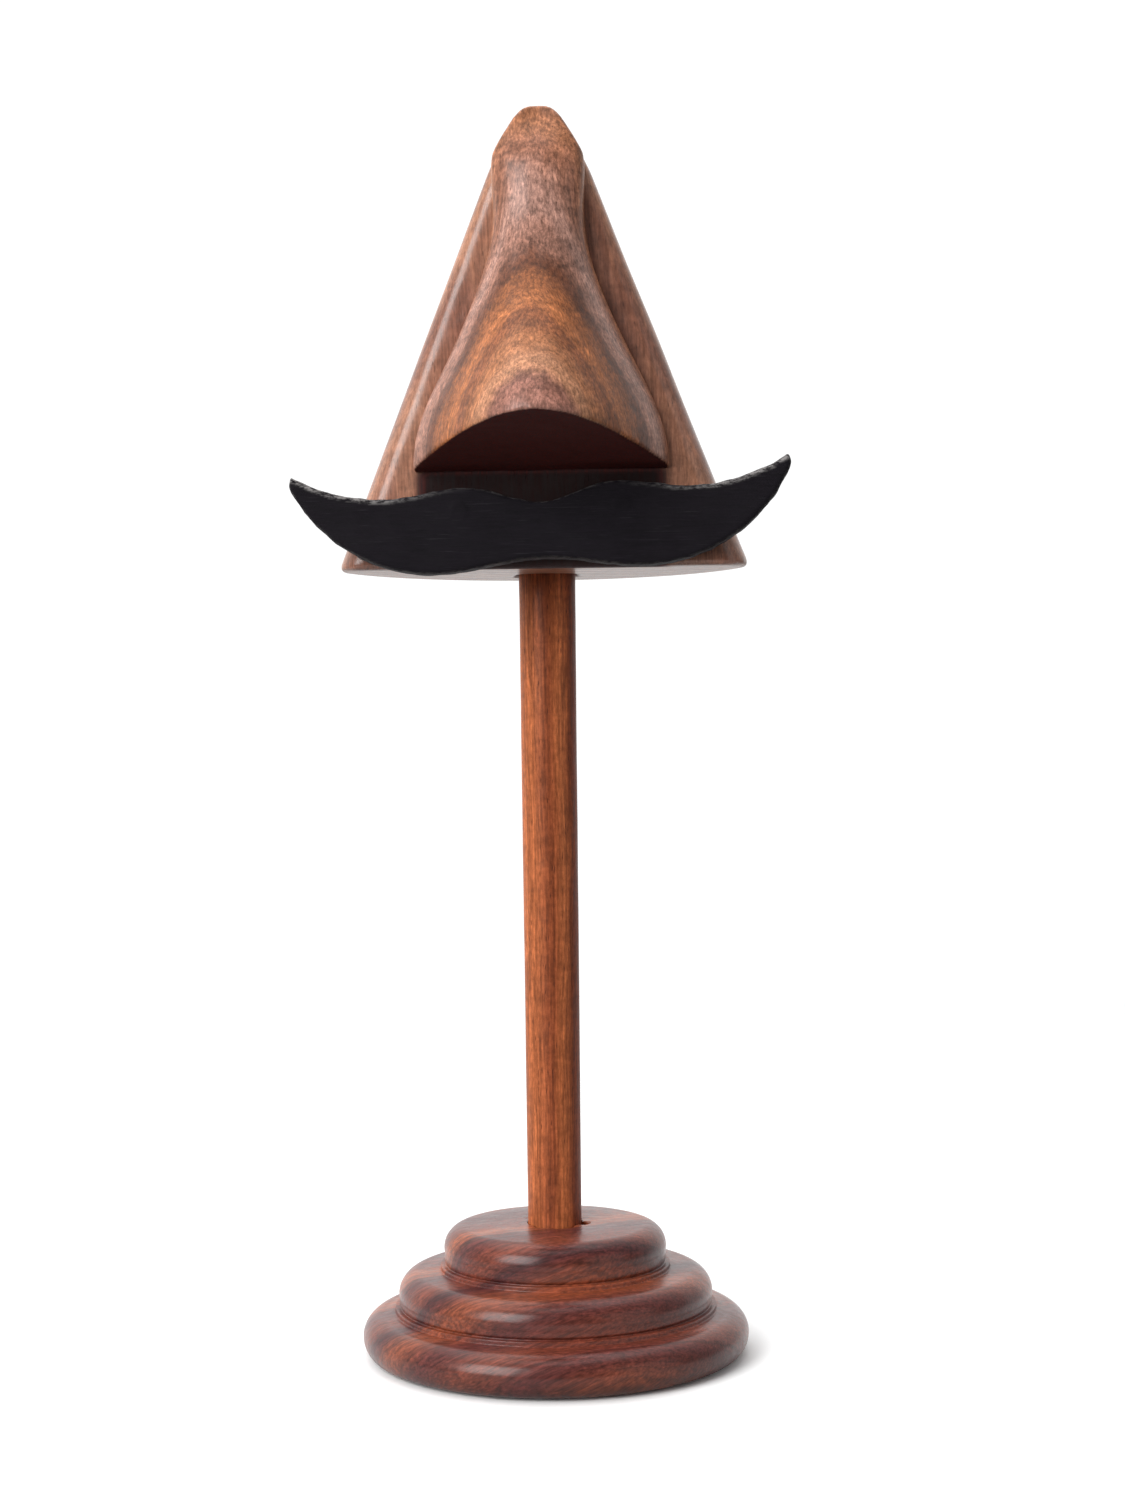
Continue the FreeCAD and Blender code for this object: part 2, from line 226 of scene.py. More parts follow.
TIER_RADII = (BASE_R, BASE_R - 6.7 * MM, BASE_R - 15.2 * MM)
TIER_TOPS = (8.2 * MM, 15.8 * MM, BASE_TOP)
TIER_EDGE = 4.1 * MM
TIER_EDGE_POINTS = 18
FOOT_UNDERCUT_DEG = 50
RIM_UNDERCUT_DEG = 12
RING_HEIGHT = 0.9 * MM
RING_PROUD = 0.7 * MM
CREASE = 0.3 * MM           # depth of the fine turned line above each ring
TOP_FALL = 0.3 * MM
FOOT_EDGE = 3.4 * MM
BASE_SOCKET_R = 5.08 * MM
BASE_SOCKET_DEPTH = 18.0 * MM
CHIP_DEPTH = 0.85 * MM
CHIP_REACH = 1.8 * MM       # how far out from the post the mouth is broken
CHIP_DROP = 0.25            # the chipped wood's fall, as a share of its depth
TURNING_WAVE = 0.05 * MM


def base_profile():
    """The turned outline, from the middle of the underside round to the floor of the socket."""
    points = [(0.6 * BASE_R * t, 0.0) for t in (0.2, 0.6, 1.0)] + [(BASE_R - FOOT_EDGE, 0.0)]
    marks = [0.0] * len(points)
    for tier, (radius, top) in enumerate(zip(TIER_RADII, TIER_TOPS)):
        undercut = FOOT_UNDERCUT_DEG
        if tier:
            undercut = RIM_UNDERCUT_DEG
            below = TIER_TOPS[tier - 1]
            ring = radius + RING_PROUD
            corner = (
                (ring + 0.6 * MM, below - 0.02 * MM, 0.0),
                (ring + 0.1 * MM, below, 0.7),
                (ring, below + 0.15 * MM, 1.0),
                (ring, below + RING_HEIGHT - 0.15 * MM, 1.0),
                (ring - 0.1 * MM, below + RING_HEIGHT, 1.0),
                (radius + 0.05 * MM, below + RING_HEIGHT, 0.8),
                (radius - CREASE, below + RING_HEIGHT, 0.3),
                (radius - CREASE, below + RING_HEIGHT + CREASE, 0.0),
                (radius - 0.1 * MM, below + RING_HEIGHT + 1.4 * CREASE, 0.0),
            )
            points += [(r, z) for r, z, _ in corner]
            marks += [mark for _, _, mark in corner]
        middle = top - TOP_FALL - TIER_EDGE
        for i in range(TIER_EDGE_POINTS):
            a = math.radians(-undercut + (90 + undercut) * i / (TIER_EDGE_POINTS - 1))
            across = radius - TIER_EDGE + TIER_EDGE * math.cos(a)
            points.append((across, middle + TIER_EDGE * math.sin(a)))
            marks.append(0.0)
    mouth = BASE_SOCKET_R + 0.15 * MM
    flat = TIER_RADII[-1] - 2 * TIER_EDGE
    points += [(flat + (mouth - flat) * t, BASE_TOP) for t in (0.0, 0.3, 0.6, 0.8, 0.9, 1.0)]
    floor = BASE_TOP - BASE_SOCKET_DEPTH
    depths = [0.3 * MM, 0.8 * MM, 1.6 * MM, 5 * MM, BASE_SOCKET_DEPTH]
    points += [(BASE_SOCKET_R, BASE_TOP - d) for d in depths]
    points.append((0.5 * BASE_SOCKET_R, floor))
    marks += [0.0] * (len(points) - len(marks))
    return round_corners(points, marks)


def base_wobble(radius, height, angle):
    """The socket's mouth is broken out in places; elsewhere the turning is only slightly uneven."""
    if radius < POST_R + CHIP_REACH and height > BASE_TOP - 2.0 * MM:
        near = 1 - smooth_step(0.3 * MM, 1.9 * MM, BASE_TOP - height)
        rim = 1 - smooth_step(POST_R + 0.2 * MM, POST_R + CHIP_REACH, radius)
        broken = CHIP_DEPTH * near * rim * (chip(angle, 3.0) + splinter(angle))
        return radius + broken, height - CHIP_DROP * broken
    spot = Vector((math.cos(angle) * 2, math.sin(angle) * 2, height * 90))
    return radius + TURNING_WAVE * noise.noise(spot) * (radius > 0.4 * BASE_R), height


def make_base():
    points, marks = base_profile()
    mesh = lathe("base_turned", points, LATHE_STEPS, base_wobble, marks)
    return new_piece("base_turned", mesh, "stand_base", "base_wood", "base")


POST_FOOT_R = 5.0 * MM
POST_BEVEL = 0.5 * MM
POST_RIPPLE = 0.07 * MM


def post_profile():
    low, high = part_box("post")[0].z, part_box("post")[1].z
    points = [
        (0.4 * POST_FOOT_R, low), (POST_FOOT_R - POST_BEVEL, low), (POST_FOOT_R, low + POST_BEVEL),
    ]
    for i in range(POST_RINGS + 1):
        z = low + POST_BEVEL + (high - low - 2 * POST_BEVEL) * i / POST_RINGS
        t = min(1.0, max(0.0, (z - BASE_TOP) / (HEAD_BOTTOM - BASE_TOP)))
        points.append((POST_FOOT_R + (POST_R - POST_FOOT_R) * t, z))
    points += [(POST_R - POST_BEVEL, high), (0.4 * POST_R, high)]
    return points


def post_wobble(radius, height, angle):
    """Planed and sanded by hand between the sockets: a rod that is nearly, not quite, round."""
    inside = smooth_step(BASE_TOP, BASE_TOP + 4 * MM, height)
    inside *= 1 - smooth_step(HEAD_BOTTOM - 4 * MM, HEAD_BOTTOM, height)
    spot = Vector((math.cos(angle), math.sin(angle), height * 28))
    ripple = noise.noise(spot * 1.3) + 0.3 * noise.noise(spot * 5.0)
    return radius - POST_RIPPLE * inside * abs(ripple), height


def make_post():
    points = post_profile()
    mesh = lathe("post_rod", points, POST_STEPS, post_wobble, [0.0] * len(points))
    return new_piece("post_rod", mesh, "upright", "post_wood", "post")


# ------------------------------------------------------------------ carved head

CARVING = 0.13 * MM         # depth of the waviness left by carving and sanding
SOCKET_REACH = 2.2 * MM     # how far from the post the block's socket is broken out
UNDERSIDE_STAIN_AND_SHADE = 0.8       # how dark the nose's underside is made: stain soaked into its end grain, and painted shade on the down-facing faces


def break_socket_edge(mesh):
    """Chips the lower edge of the block's socket, all round the top of the post."""
    reach = POST_R + SOCKET_REACH
    points = [v.co.copy() for v in mesh.vertices]
    for point in points:
        r = math.hypot(point.x, point.y)
        up = point.z - HEAD_BOTTOM
        if POST_R - 1 * MM < r < reach and up < SOCKET_REACH:
            fade = 1 - smooth_step(POST_R, reach, r)
            fade *= 1 - smooth_step(0.4 * MM, SOCKET_REACH, up)
            push = 1.3 * CHIP_DEPTH * fade * (0.25 + chip(math.atan2(point.y, point.x), 7.3))
            point.x += push * point.x / r
            point.y += push * point.y / r
    move_points(mesh, points)


def painted_shade_under_nose(vertex, nose_low, nose_high):
    """From 0 to 1: painted shade on the block's front just under the nose, where the nose's shadow
    falls.
    """
    front = 1 - smooth_step(1 * MM, 3 * MM, vertex.co.y - BLOCK_FRONT_Y)
    across = 1 - smooth_step(0.88 * nose_high.x, 1.08 * nose_high.x, abs(vertex.co.x))
    under = 1 - smooth_step(-1 * MM, 2 * MM, vertex.co.z - nose_low.z)
    return front * across * under


def make_block():
    mesh = dense_copy("face_block", CARVED_VOXEL, BLOCK_SMOOTHING)
    break_socket_edge(mesh)
    above = [smooth_step(2 * MM, 5 * MM, v.co.z - HEAD_BOTTOM) for v in mesh.vertices]
    uneven(mesh, CARVING, (90, 90, 45), 11.0, above)
    nose_low, nose_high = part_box("nose")
    # painted shade on the block's front under the nose, kept as a darkening mask
    point_attribute(mesh, "stain_and_shade", [painted_shade_under_nose(v, nose_low, nose_high) for v in mesh.vertices])
    return new_piece("face_block_carved", mesh, "head", "block_wood", "face_block")


def make_nose():
    """The nose's down-facing underside is darkened: its end grain has soaked up the dark stain, and
    painted shade is added there too.
    """
    mesh = dense_copy("nose", CARVED_VOXEL, NOSE_SMOOTHING)
    uneven(mesh, 1.2 * CARVING, (75, 75, 60), 23.0)
    # darkens the faces that point down: end-grain stain, and painted shade on the underside
    stain_and_shade = [UNDERSIDE_STAIN_AND_SHADE * smooth_step(0.62, 0.9, -normal.z) for normal in normals_of(mesh)]
    point_attribute(mesh, "stain_and_shade", stain_and_shade)
    return new_piece("nose_carved", mesh, "head", "nose_wood", "nose")


PAINT_OVER_PIN = 0.07 * MM
SAW_MARKS = 0.22 * MM
BRUSH_MARKS = 0.05 * MM
TOP_STRIP_WIDTH = 0.8 * MM       # width of the light strip along the top edge: painted highlight, with some worn paint
# strength of the painted highlight, with some wear, along the top edge of the two ends
TOP_HIGHLIGHT_AND_WEAR = 0.9
ARRIS_WEAR = 0.2


def paint_cap(node):
    """The film of paint over one pin's head, as a disc on the board's front."""
    low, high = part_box(node)
    centre = Vector(((low.x + high.x) / 2, low.y, (low.z + high.z) / 2))
    thickness = 0.5 * MM
    centre.y += thickness / 2 - PAINT_OVER_PIN
    return centre, Vector((0, 1, 0)), 0.75 * (high.x - low.x), thickness


def paint_wear_and_highlight(mesh, edge):
    """From 0 to 1: paint worn off the arrises, with a painted highlight along the top of the two ends,
    where it is strongest.
    """
    upper = [v.co for v, normal in zip(mesh.vertices, normals_of(mesh)) if normal.z > 0.5]
    nearest = KDTree(len(upper))
    for i, point in enumerate(upper):
        nearest.insert(point, i)
    nearest.balance()
    wear_and_highlight = []
    for vertex, side in zip(mesh.vertices, edge):
        out = smooth_step(0.25, 0.9, abs(vertex.co.x) / MOUSTACHE_HALF)
        away = nearest.find(vertex.co)[2]
        above = out * (1 - smooth_step(0.3 * TOP_STRIP_WIDTH, TOP_STRIP_WIDTH, away))
        wear_and_highlight.append(max(ARRIS_WEAR * smooth_step(0.12, 0.4, side), TOP_HIGHLIGHT_AND_WEAR * above))
    return wear_and_highlight


def make_moustache():
    """The sawn and painted board, with wavy saw marks on its edge."""
    caps = [paint_cap(node) for node in ("moustache_pin_left", "moustache_pin_right")]
    mesh = dense_copy("moustache", BOARD_VOXEL, BOARD_SMOOTHING, caps)
    edge = [1 - abs(normal.y) for normal in normals_of(mesh)]
    uneven(mesh, SAW_MARKS, (420, 60, 420), 31.0, edge)
    uneven(mesh, BRUSH_MARKS, (140, 60, 1500), 37.0)
    point_attribute(mesh, "wear_and_highlight", paint_wear_and_highlight(mesh, edge))
    return new_piece("moustache_board", mesh, "head", "black_paint", "moustache")


# ------------------------------------------------------------------ material helpers

class Nodes:
    """Short forms for building one material's nodes."""

    def __init__(self, name):
        self.material = bpy.data.materials.new(name)
        self.material.use_nodes = True
        self.tree = self.material.node_tree
        self.tree.nodes.clear()
        self.shader = self.tree.nodes.new("ShaderNodeBsdfPrincipled")
        output = self.tree.nodes.new("ShaderNodeOutputMaterial")
        self.join(self.shader.outputs[0], output.inputs[0])

    def join(self, source, target):
        self.tree.links.new(source, target)

    def put(self, target, value):
        if isinstance(value, bpy.types.NodeSocket):
            self.join(value, target)
        else:
            target.default_value = value

    def node(self, kind, inputs=(), **settings):
        node = self.tree.nodes.new(kind)
        for key, value in settings.items():
            setattr(node, key, value)
        for key, value in dict(inputs).items():
            self.put(node.inputs[key], value)
        return node

    def calc(self, operation, a, b=0.0, clamp=False):
        inputs = {0: a, 1: b}
        return self.node("ShaderNodeMath", inputs, operation=operation, use_clamp=clamp).outputs[0]

    def vector(self, operation, a, b):
        return self.node("ShaderNodeVectorMath", {0: a, 1: b}, operation=operation).outputs[0]

    def scaled(self, vector, scale):
        return self.vector("MULTIPLY", vector, scale)

    def noise(self, vector, scale, detail=3.0, roughness=0.55, distortion=0.0):
        inputs = {
            "Vector": vector, "Scale": scale, "Detail": detail,
            "Roughness": roughness, "Distortion": distortion,
        }
        return self.node("ShaderNodeTexNoise", inputs).outputs

    def span(self, value, low, high, to_low=0.0, to_high=1.0):
        inputs = {"Value": value, 1: low, 2: high, 3: to_low, 4: to_high}
        node = self.node("ShaderNodeMapRange", inputs, interpolation_type="SMOOTHSTEP")
        return node.outputs[0]

    def ramp(self, value, stops, interpolation="EASE"):
        node = self.node("ShaderNodeValToRGB", {0: value})
        ramp = node.color_ramp
        ramp.interpolation = interpolation
        while len(ramp.elements) < len(stops):
            ramp.elements.new(1.0)
        for element, (position, colour) in zip(ramp.elements, stops):
            element.position = position
            element.color = (*colour, 1.0)
        return node.outputs[0]

    def mix(self, factor, a, b, blend="MIX"):
        node = self.node("ShaderNodeMix", data_type="RGBA", blend_type=blend)
        self.put(node.inputs[0], factor)
        for key, value in ((6, a), (7, b)):
            self.put(node.inputs[key], (*value, 1.0) if isinstance(value, tuple) else value)
        return node.outputs[2]

    def grey(self, value):
        return self.node("ShaderNodeCombineColor", {0: value, 1: value, 2: value}).outputs[0]

    def bump(self, height, depth_mm, normal=None):
        inputs = {"Height": height, "Distance": depth_mm * MM, "Strength": 1.0}
        if normal is not None:
            inputs["Normal"] = normal
        return self.node("ShaderNodeBump", inputs).outputs[0]

    def object_mm(self):
        place = self.node("ShaderNodeTexCoord").outputs["Object"]
        return self.scaled(place, (1000.0, 1000.0, 1000.0))

    def attribute(self, name):
        return self.node("ShaderNodeAttribute", attribute_name=name).outputs["Fac"]

    def finish(self, **inputs):
        for key, value in inputs.items():
            self.put(self.shader.inputs[key.replace("_", " ")], value)
        return self.material


PORE_DARK = (0.030, 0.010, 0.007)
# the nose's underside, stain with painted shade, between its darkest and warmest fibres; and the painted
# shade at its deepest, under the nose
STAIN_AND_SHADE_DARK = (0.016, 0.0020, 0.0018)
STAIN_AND_SHADE_WARM = (0.060, 0.0075, 0.0050)
PAINTED_SHADE_DEEP = (0.0045, 0.0006, 0.0005)
COAT_ROUGHNESS = 0.24
LACQUER_IOR = 1.45
GROOVE_WARMTH = (1.18, 1.0, 0.85)
RING_RIPPLE = 2.2                    # mm, from side to side
FIBRE_DEPTH = 0.05                   # mm
SANDING_DEPTH = 0.35                 # mm
PORE_LAYERS = (                      # scale, stretch along the fibres, width
    (2.6, 0.10, 0.20),
    (1.5, 0.07, 0.13),
)


def trunk_place(n, fibre, warp):
    """The point in the trunk, in mm with the fibres along Z, bent by the trunk's own unevenness."""
    turned = n.node("ShaderNodeMapping", {"Vector": n.object_mm()}, vector_type="POINT")
    turned.inputs["Rotation"].default_value = Euler([math.radians(a) for a in fibre])
    at = turned.outputs[0]
    wander = n.noise(n.scaled(at, (1.0, 1.0, 0.35)), 0.045, 2.0)["Color"]
    wander = n.vector("SUBTRACT", wander, (0.5, 0.5, 0.5))
    return n.vector("ADD", at, n.scaled(wander, (warp * 2, warp * 2, 0.0)))


def pith_distance(n, at, pith):
    """How far the point is from the pith, with the ripple that all growth rings share."""
    flat = n.scaled(n.vector("SUBTRACT", at, (*pith, 0.0)), (1.0, 1.0, 0.0))
    depth = n.node("ShaderNodeVectorMath", {0: flat}, operation="LENGTH").outputs["Value"]
    ripple = n.noise(n.scaled(at, (1.0, 1.0, 0.12)), 0.5, 3.0)["Fac"]
    return n.calc("ADD", depth, n.calc("MULTIPLY", n.calc("SUBTRACT", ripple, 0.5), RING_RIPPLE))


def grain_shade(n, at, depth, fibres, streak, figure, fleck):
    """One brightness factor: growth lines, fibre streaks, cross figure and fine flecks."""
    line = n.node("ShaderNodeCombineXYZ", {0: depth}).outputs[0]
    lines = n.noise(line, 1.15, 4.0, 0.7)["Fac"]
    patches = n.noise(n.scaled(at, (0.45, 0.45, 1.0)), 0.42, 4.0, 0.6, 0.6)["Fac"]
    flecks = n.noise(n.scaled(at, (1.0, 1.0, 0.4)), 1.9, 5.0, 0.75)["Fac"]
    shade = n.span(lines, 0.34, 0.66, 1 - 0.55 * streak, 1 + 0.35 * streak)
    for factor in (
        n.span(fibres, 0.3, 0.72, 1 - 0.6 * streak, 1 + 0.45 * streak),
        n.span(patches, 0.3, 0.7, 1 - figure, 1 + figure),
        n.span(flecks, 0.34, 0.66, 1 - fleck, 1 + fleck),
    ):
        shade = n.calc("MULTIPLY", shade, factor)
    return shade


def pore_mask(n, at):
    """Thin dark vessels that show as dashes or, cut across, as dots; each layer is one size."""
    mask = 0.0
    for scale, length, width in PORE_LAYERS:
        place = n.scaled(at, (1.0, 1.0, length))
        cells = n.node("ShaderNodeTexVoronoi", {"Vector": place, "Scale": scale}).outputs
        chosen = n.node("ShaderNodeSeparateColor", {0: cells["Color"]}).outputs[0]
        hole = n.span(cells["Distance"], width, 0.35 * width)
        mask = n.calc("MAXIMUM", mask, n.calc("MULTIPLY", hole, n.span(chosen, 0.35, 0.65)))
    return mask


# darkens the colour where the mask is set: stain with painted shade on the nose's underside, painted
# shade on the block under the nose
def stained_and_shaded(n, colour, fibres, stain_and_shade):
    dark = n.mix(n.span(fibres, 0.35, 0.75), STAIN_AND_SHADE_DARK, STAIN_AND_SHADE_WARM)
    # painted shade at its deepest, in the block's corner under the nose
    dark = n.mix(n.span(stain_and_shade, 0.82, 1.0, 0.0, 0.85), dark, PAINTED_SHADE_DEEP)
    return n.mix(n.span(stain_and_shade, 0.0, 0.75), colour, dark)


def rosewood(name, fibre, pith, rings, stops, pores, figure, streak, fleck, warp, lacquer, gloss,
             shine):
    """Solid rosewood in object space, so that bands, fibres and pores run through the piece.

    fibre is the rotation that brings the fibres onto Z, in degrees. pith is where the growth
    rings' axis passes, in mm, and rings the two distances from it that the colour stops span.
    """
    n = Nodes(name)
    at = trunk_place(n, fibre, warp)
    depth = pith_distance(n, at, pith)
    fibres = n.noise(n.scaled(at, (1.0, 1.0, 0.045)), 2.4, 5.0, 0.62)["Fac"]
    pore = pore_mask(n, at)
    groove = n.attribute("groove")
    stain_and_shade = n.attribute("stain_and_shade")

    span = rings[1] - rings[0]
    place = n.calc("PINGPONG", n.calc("SUBTRACT", depth, rings[0]), span)
    colour = n.ramp(n.calc("DIVIDE", place, span), stops)
    shade = grain_shade(n, at, depth, fibres, streak, figure, fleck)
    colour = n.mix(1.0, colour, n.grey(shade), "MULTIPLY")
    colour = n.mix(n.calc("MULTIPLY", pore, pores), colour, PORE_DARK)
    warm = n.mix(1.0, colour, GROOVE_WARMTH, "MULTIPLY")
    colour = n.mix(n.calc("MULTIPLY", groove, 0.5), colour, warm)
    # painted shade, and on the nose's underside also end-grain stain, where the mask marks them
    colour = stained_and_shaded(n, colour, fibres, stain_and_shade)

    rough = n.span(fibres, 0.3, 0.7, gloss - 0.05, gloss + 0.09)
    for mask, rise in ((pore, 0.25), (groove, 0.12), (stain_and_shade, 0.45)):
        rough = n.calc("ADD", rough, n.calc("MULTIPLY", mask, rise))
    height = n.calc("SUBTRACT", n.calc("MULTIPLY", fibres, 0.5), pore)
    normal = n.bump(height, FIBRE_DEPTH)
    normal = n.bump(n.noise(at, 0.16, 2.0)["Fac"], SANDING_DEPTH, normal)
    return n.finish(
        Base_Color=colour, Roughness=rough, Normal=normal,
        Coat_Weight=n.span(stain_and_shade, 0.0, 1.0, lacquer, 0.05 * lacquer),
        Coat_Roughness=COAT_ROUGHNESS, IOR=LACQUER_IOR, Specular_IOR_Level=shine,
    )


# ------------------------------------------------------------------ materials

REDDER = (0.97, 0.85, 0.82)


def tinted(stops, tint):
    return [(place, tuple(c * t for c, t in zip(colour, tint))) for place, colour in stops]


def base_wood():
    stops = (
        (0.00, (0.110, 0.028, 0.024)),
        (0.10, (0.290, 0.078, 0.030)),
        (0.17, (0.090, 0.023, 0.021)),
        (0.28, (0.160, 0.042, 0.027)),
        (0.36, (0.320, 0.092, 0.036)),
        (0.44, (0.110, 0.028, 0.024)),
        (0.56, (0.190, 0.050, 0.029)),
        (0.64, (0.080, 0.021, 0.021)),
        (0.75, (0.260, 0.072, 0.032)),
        (0.88, (0.110, 0.029, 0.025)),
        (1.00, (0.180, 0.048, 0.028)),
    )
    return rosewood(
        "base_rosewood", (0, -68, 14), (-64, 10), (30, 76), tinted(stops, REDDER),
        pores=0.6, figure=0.10, streak=0.75, fleck=0.20, warp=3.0, lacquer=0.42, gloss=0.36,
        shine=0.14,
    )


def post_wood():
    stops = (
        (0.00, (0.560, 0.180, 0.066)),
        (0.25, (0.460, 0.130, 0.045)),
        (0.45, (0.290, 0.070, 0.025)),
        (0.60, (0.480, 0.135, 0.046)),
        (0.78, (0.210, 0.046, 0.018)),
        (1.00, (0.340, 0.084, 0.030)),
    )
    return rosewood(
        "post_rosewood", (1.2, 0, 0), (-34, -12), (27, 43), stops,
        pores=0.95, figure=0.14, streak=0.62, fleck=0.20, warp=1.2, lacquer=0.06, gloss=0.50, shine=0.14,
    )


def block_wood():
    stops = (
        (0.00, (0.440, 0.235, 0.155)),
        (0.12, (0.290, 0.112, 0.054)),
        (0.24, (0.460, 0.250, 0.168)),
        (0.36, (0.230, 0.086, 0.046)),
        (0.48, (0.420, 0.210, 0.132)),
        (0.60, (0.190, 0.070, 0.042)),
        (0.74, (0.390, 0.175, 0.098)),
        (0.86, (0.220, 0.086, 0.052)),
        (1.00, (0.370, 0.165, 0.095)),
    )
    return rosewood(
        "block_rosewood", (0, 1.5, 0), (6, 90), (94, 112), stops,
        pores=0.65, figure=0.14, streak=0.5, fleck=0.14, warp=2.2, lacquer=0.50, gloss=0.36, shine=0.30,
    )


def nose_wood():
    stops = (
        (0.00, (0.360, 0.170, 0.115)),
        (0.14, (0.350, 0.140, 0.068)),
        (0.22, (0.310, 0.130, 0.078)),
        (0.32, (0.400, 0.215, 0.165)),
        (0.36, (0.340, 0.165, 0.118)),
        (0.45, (0.130, 0.043, 0.020)),
        (0.52, (0.260, 0.084, 0.028)),
        (0.60, (0.360, 0.120, 0.040)),
        (0.67, (0.250, 0.082, 0.032)),
        (0.77, (0.370, 0.142, 0.060)),
        (0.86, (0.450, 0.205, 0.108)),
        (0.93, (0.290, 0.126, 0.090)),
        (1.00, (0.330, 0.158, 0.120)),
    )
    return rosewood(
        "nose_rosewood", (0, 0, 0), (3, 70), (87, 117), stops,
        pores=0.85, figure=0.26, streak=0.5, fleck=0.38, warp=4.0, lacquer=0.20, gloss=0.42,
        shine=0.16,
    )


def black_paint():
    """Thin matte black over sanded wood: the grain prints through, scratches and arrises show grey, and
    a painted highlight lightens the top edge of the two ends.
    """
    n = Nodes("black_paint")
    at = n.object_mm()
    grain = n.noise(n.scaled(at, (0.07, 1.0, 1.0)), 2.6, 6.0, 0.7)["Fac"]
    brush = n.noise(n.scaled(at, (0.03, 1.0, 1.0)), 5.5, 3.0)["Fac"]
    blotch = n.noise(at, 0.14, 3.0)["Fac"]
    scratch = n.span(brush, 0.60, 0.74)
    rubbed = n.span(n.noise(n.scaled(at, (0.4, 1.0, 1.0)), 1.5, 5.0, 0.7)["Fac"], 0.38, 0.62)
    worn_and_lit = n.calc("MULTIPLY", n.attribute("wear_and_highlight"), rubbed)
    colour = n.ramp(grain, ((0.25, (0.0025, 0.0018, 0.003)), (0.75, (0.0095, 0.0075, 0.0105))))
    colour = n.mix(n.calc("MULTIPLY", scratch, 0.4), colour, (0.040, 0.036, 0.042))
    colour = n.mix(n.span(blotch, 0.35, 0.75, 0.0, 0.35), colour, (0.012, 0.010, 0.013))
    # grey of the worn arrises, also used as a painted highlight along the top edges of the two ends
    colour = n.mix(worn_and_lit, colour, (0.27, 0.255, 0.25))
    rough = n.span(grain, 0.3, 0.7, 0.62, 0.82)
    height = n.calc("ADD", grain, n.calc("MULTIPLY", brush, 0.6))
    return n.finish(
        Base_Color=colour, Roughness=rough, Normal=n.bump(height, 0.07), Specular_IOR_Level=0.08,
    )


def screw_steel():
    n = Nodes("screw_steel")
    at = n.object_mm()
    fine = n.noise(n.scaled(at, (6.0, 1.0, 1.0)), 1.6, 4.0)["Fac"]
    dull = n.noise(at, 0.9, 3.0)["Fac"]
    colour = n.ramp(dull, ((0.3, (0.30, 0.28, 0.25)), (0.7, (0.52, 0.50, 0.47))))
    return n.finish(
        Base_Color=colour, Roughness=n.span(fine, 0.3, 0.7, 0.28, 0.5),
        Normal=n.bump(fine, 0.02), Metallic=1.0,
    )


def painted_pin():
    n = Nodes("painted_pin")
    coat = n.noise(n.object_mm(), 2.2, 4.0)["Fac"]
    colour = n.ramp(coat, ((0.3, (0.007, 0.006, 0.008)), (0.75, (0.026, 0.023, 0.027))))
    return n.finish(
        Base_Color=colour, Roughness=n.span(coat, 0.3, 0.7, 0.5, 0.75), Normal=n.bump(coat, 0.05),
    )


def dress(piece, material):
    piece.data.materials.clear()
    piece.data.materials.append(material)


def dress_cad(node, material):
    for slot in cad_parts[node].material_slots:
        slot.material = material


# ------------------------------------------------------------------ studio

WHITE = (1.0, 1.0, 1.0)
FLOOR_RADIUS = 0.62
BRIGHT_SIDE = (-0.3, 0.93, 0.2)
ROOM_BRIGHT = 1.25
ROOM_DIM = 0.20
ROOM_BELOW = 0.10
FLOOR_DROP = 0.05 * MM


def make_floor():
    """A round white table. It gives the wood reflections, but no light from below."""
    bpy.ops.mesh.primitive_circle_add(
        vertices=96, radius=FLOOR_RADIUS, fill_type="NGON", location=(0, 0, -FLOOR_DROP)
    )
    floor = bpy.context.object
    floor.name = "studio_floor"
    floor.visible_diffuse = False
    n = Nodes("studio_white")
    dust = n.noise(n.object_mm(), 0.05, 4.0)["Fac"]
    colour = n.ramp(dust, ((0.3, (0.95, 0.95, 0.95)), (0.7, (0.97, 0.97, 0.97))))
    dress(floor, n.finish(Base_Color=colour, Roughness=0.9))


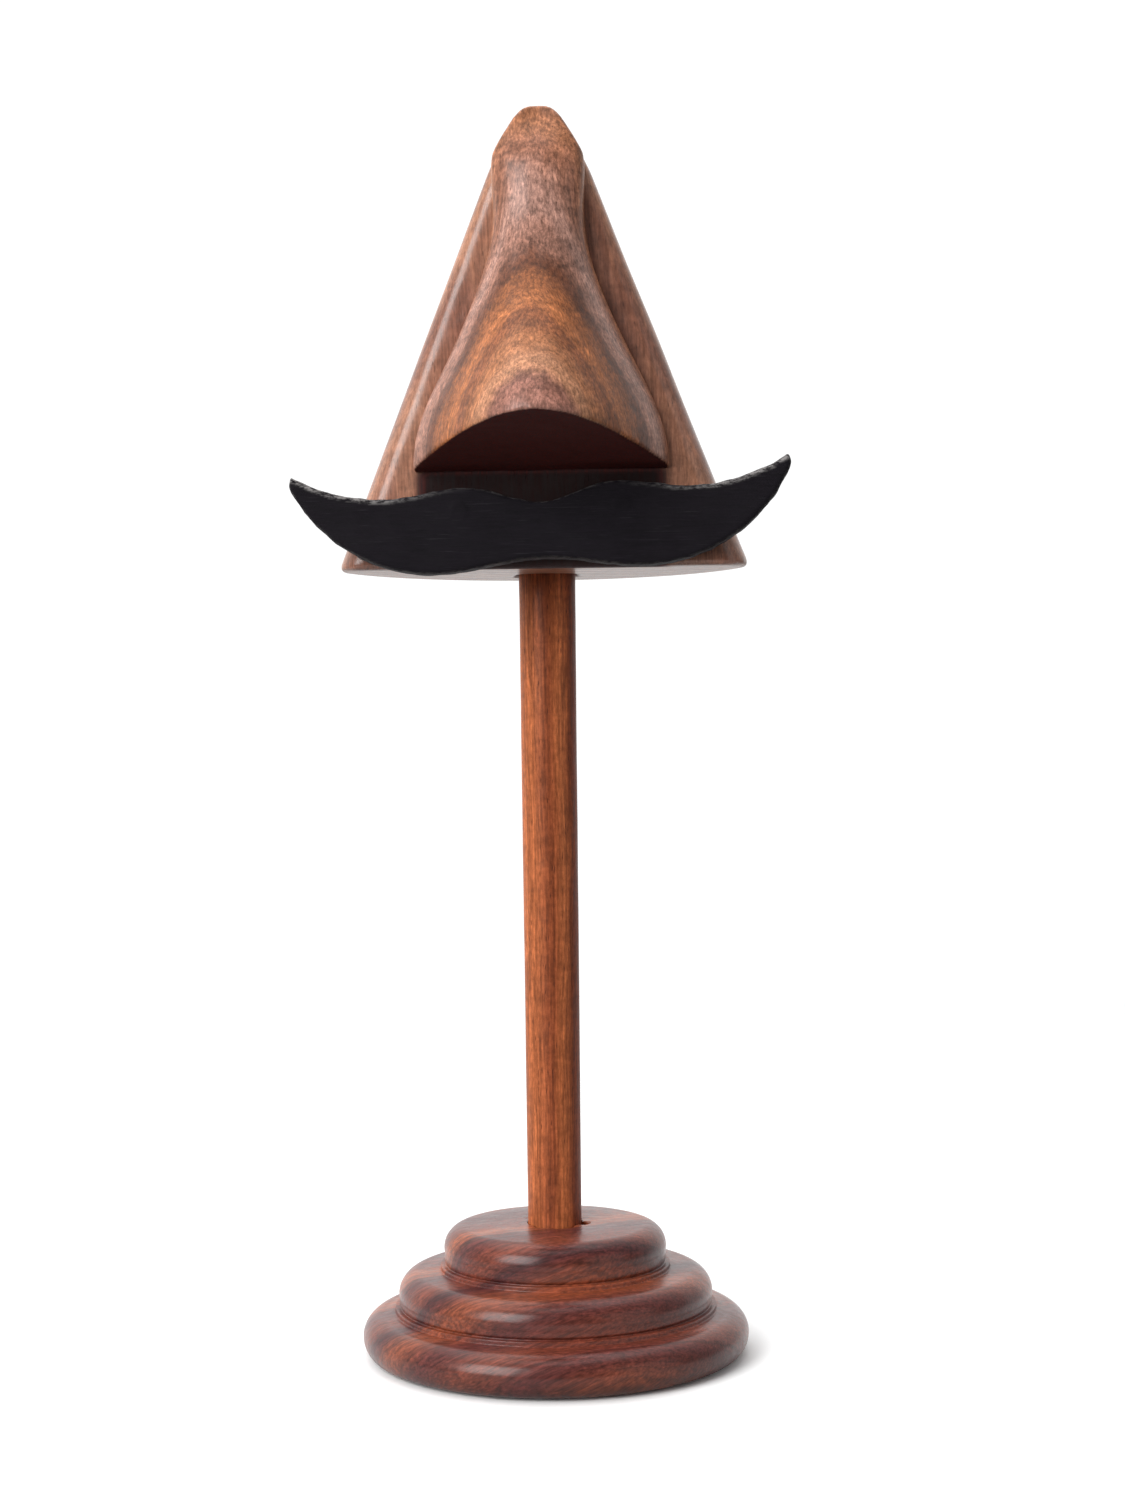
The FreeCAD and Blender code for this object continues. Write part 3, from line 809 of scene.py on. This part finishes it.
def make_world():
    """A white room: full white where it is looked at; as light, brightest behind and to the left."""
    world = bpy.data.worlds.new("white_room")
    bpy.context.scene.world = world
    world.use_nodes = True
    tree = world.node_tree
    tree.nodes.clear()

    def node(kind, inputs, **settings):
        made = tree.nodes.new(kind)
        for key, value in settings.items():
            setattr(made, key, value)
        for key, value in inputs.items():
            if isinstance(value, bpy.types.NodeSocket):
                tree.links.new(value, made.inputs[key])
            else:
                made.inputs[key].default_value = value
        return made

    def rise(value, low, high, to_low, to_high):
        inputs = {0: value, 1: low, 2: high, 3: to_low, 4: to_high}
        return node("ShaderNodeMapRange", inputs, interpolation_type="SMOOTHSTEP").outputs[0]

    direction = node("ShaderNodeTexCoord", {}).outputs["Generated"]
    inputs = {0: direction, 1: BRIGHT_SIDE}
    aside = node("ShaderNodeVectorMath", inputs, operation="DOT_PRODUCT").outputs["Value"]
    height = node("ShaderNodeSeparateXYZ", {0: direction}).outputs["Z"]
    around = rise(aside, -0.5, 0.85, ROOM_DIM, ROOM_BRIGHT)
    upward = rise(height, -0.30, -0.02, ROOM_BELOW, 1.0)
    strength = node("ShaderNodeMath", {0: around, 1: upward}, operation="MULTIPLY").outputs[0]
    white = (*WHITE, 1.0)
    light = node("ShaderNodeBackground", {0: white, 1: strength}).outputs[0]
    seen = node("ShaderNodeBackground", {0: white, 1: 1.1}).outputs[0]
    path = node("ShaderNodeLightPath", {}).outputs["Is Camera Ray"]
    room = node("ShaderNodeMixShader", {0: path, 1: light, 2: seen}).outputs[0]
    node("ShaderNodeOutputWorld", {0: room})


def softbox(name, place, target, width, height, watts):
    lamp = bpy.data.lights.new(name, "AREA")
    lamp.shape = "RECTANGLE"
    lamp.size = width
    lamp.size_y = height
    lamp.energy = watts
    lamp.color = WHITE
    box = bpy.data.objects.new(name, lamp)
    bpy.context.scene.collection.objects.link(box)
    box.location = place
    aim = Vector(target) - Vector(place)
    box.rotation_euler = aim.to_track_quat("-Z", "Y").to_euler()


def make_lights():
    middle = (0, 0, 0.5 * HEAD_TOP)
    softbox("key_left", (-0.50, -0.62, 0.46), middle, 0.50, 0.60, 8.8)
    softbox("fill_right", (0.80, -0.50, 0.30), middle, 0.7, 0.8, 1.4)
    softbox("top", (-0.10, 0.05, 0.90), middle, 0.9, 0.9, 3.8)


def make_camera():
    data = bpy.data.cameras.new("camera")
    data.sensor_width = SENSOR_MM
    data.lens = LENS_MM
    data.clip_start = 0.01
    camera = bpy.data.objects.new("camera", data)
    bpy.context.scene.collection.objects.link(camera)
    turn = Matrix.Rotation(CAMERA_AZIMUTH, 4, "Z")
    upright = Matrix.Rotation(math.pi / 2, 4, "X") @ Matrix.Rotation(CAMERA_ROLL, 4, "Z")
    place = Matrix.Translation((CAMERA_ASIDE, -CAMERA_DISTANCE, CAMERA_HEIGHT))
    camera.matrix_world = turn @ place @ upright
    bpy.context.scene.camera = camera


# ------------------------------------------------------------------ all together

make_camera()
make_world()
make_lights()
make_floor()
dress(make_base(), base_wood())
dress(make_post(), post_wood())
dress(make_block(), block_wood())
dress(make_nose(), nose_wood())
dress(make_moustache(), black_paint())
steel = screw_steel()
for node in ("nose_screw_upper", "nose_screw_lower"):
    dress_cad(node, steel)
pin = painted_pin()
for node in ("moustache_pin_left", "moustache_pin_right"):
    dress_cad(node, pin)
bpy.context.scene.view_settings.view_transform = "Standard"
